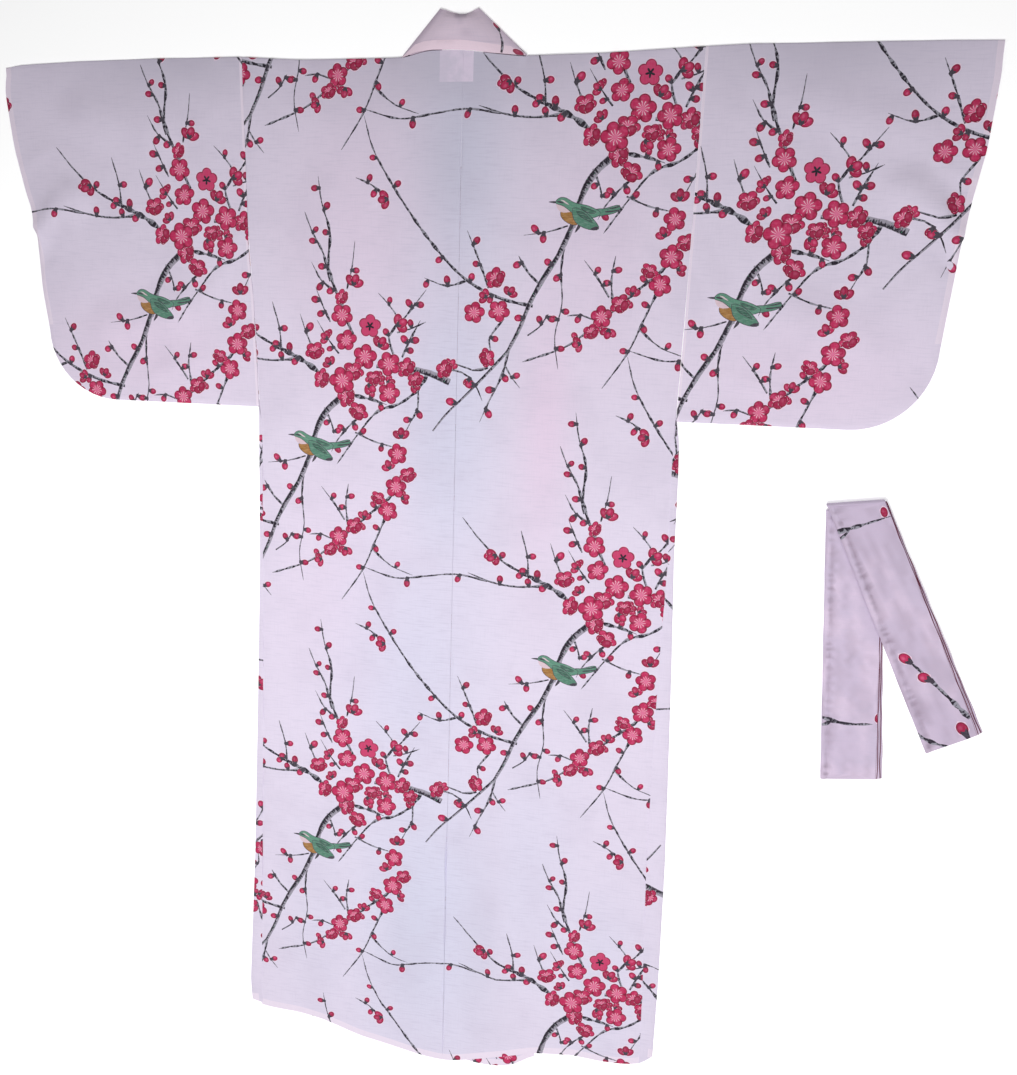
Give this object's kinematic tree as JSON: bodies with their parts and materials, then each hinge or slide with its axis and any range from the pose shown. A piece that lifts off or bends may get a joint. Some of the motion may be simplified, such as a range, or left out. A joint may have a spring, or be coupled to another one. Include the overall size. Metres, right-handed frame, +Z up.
{
  "type": "yukata laid out flat, face down, with its tie belt beside it",
  "caption": "Summer cotton robe laid out flat with its back up, square hanging sleeves, straight back and a folded band collar, and its folded tie belt lying beside it.",
  "frame": {"origin": "on the floor, in the middle of the ground that the robe and its belt cover", "axes": "+Y from the hem towards the collar, +Z up from the floor, +X to the right as seen from above with the collar at the top"},
  "size_m": [1.4328, 1.5814, 0.0106],
  "materials": {
    "cloth": "plain woven cotton, pale pink and lavender, printed with plum blossom branches",
    "collar_cloth": "the same cotton, folded in a band",
    "belt_cloth": "the same cotton, folded several times, greyer and mottled",
    "label_cloth": "blank woven label"
  },
  "bodies": {
    "root": {"body_left": "cloth", "body_right": "cloth", "gusset_left": "cloth", "gusset_right": "cloth", "sleeve_left": "cloth", "sleeve_right": "cloth", "collar": "collar_cloth", "neck_label": "label_cloth", "belt_under_run": "belt_cloth", "belt_over_run": "belt_cloth"}
  },
  "joints": []
}
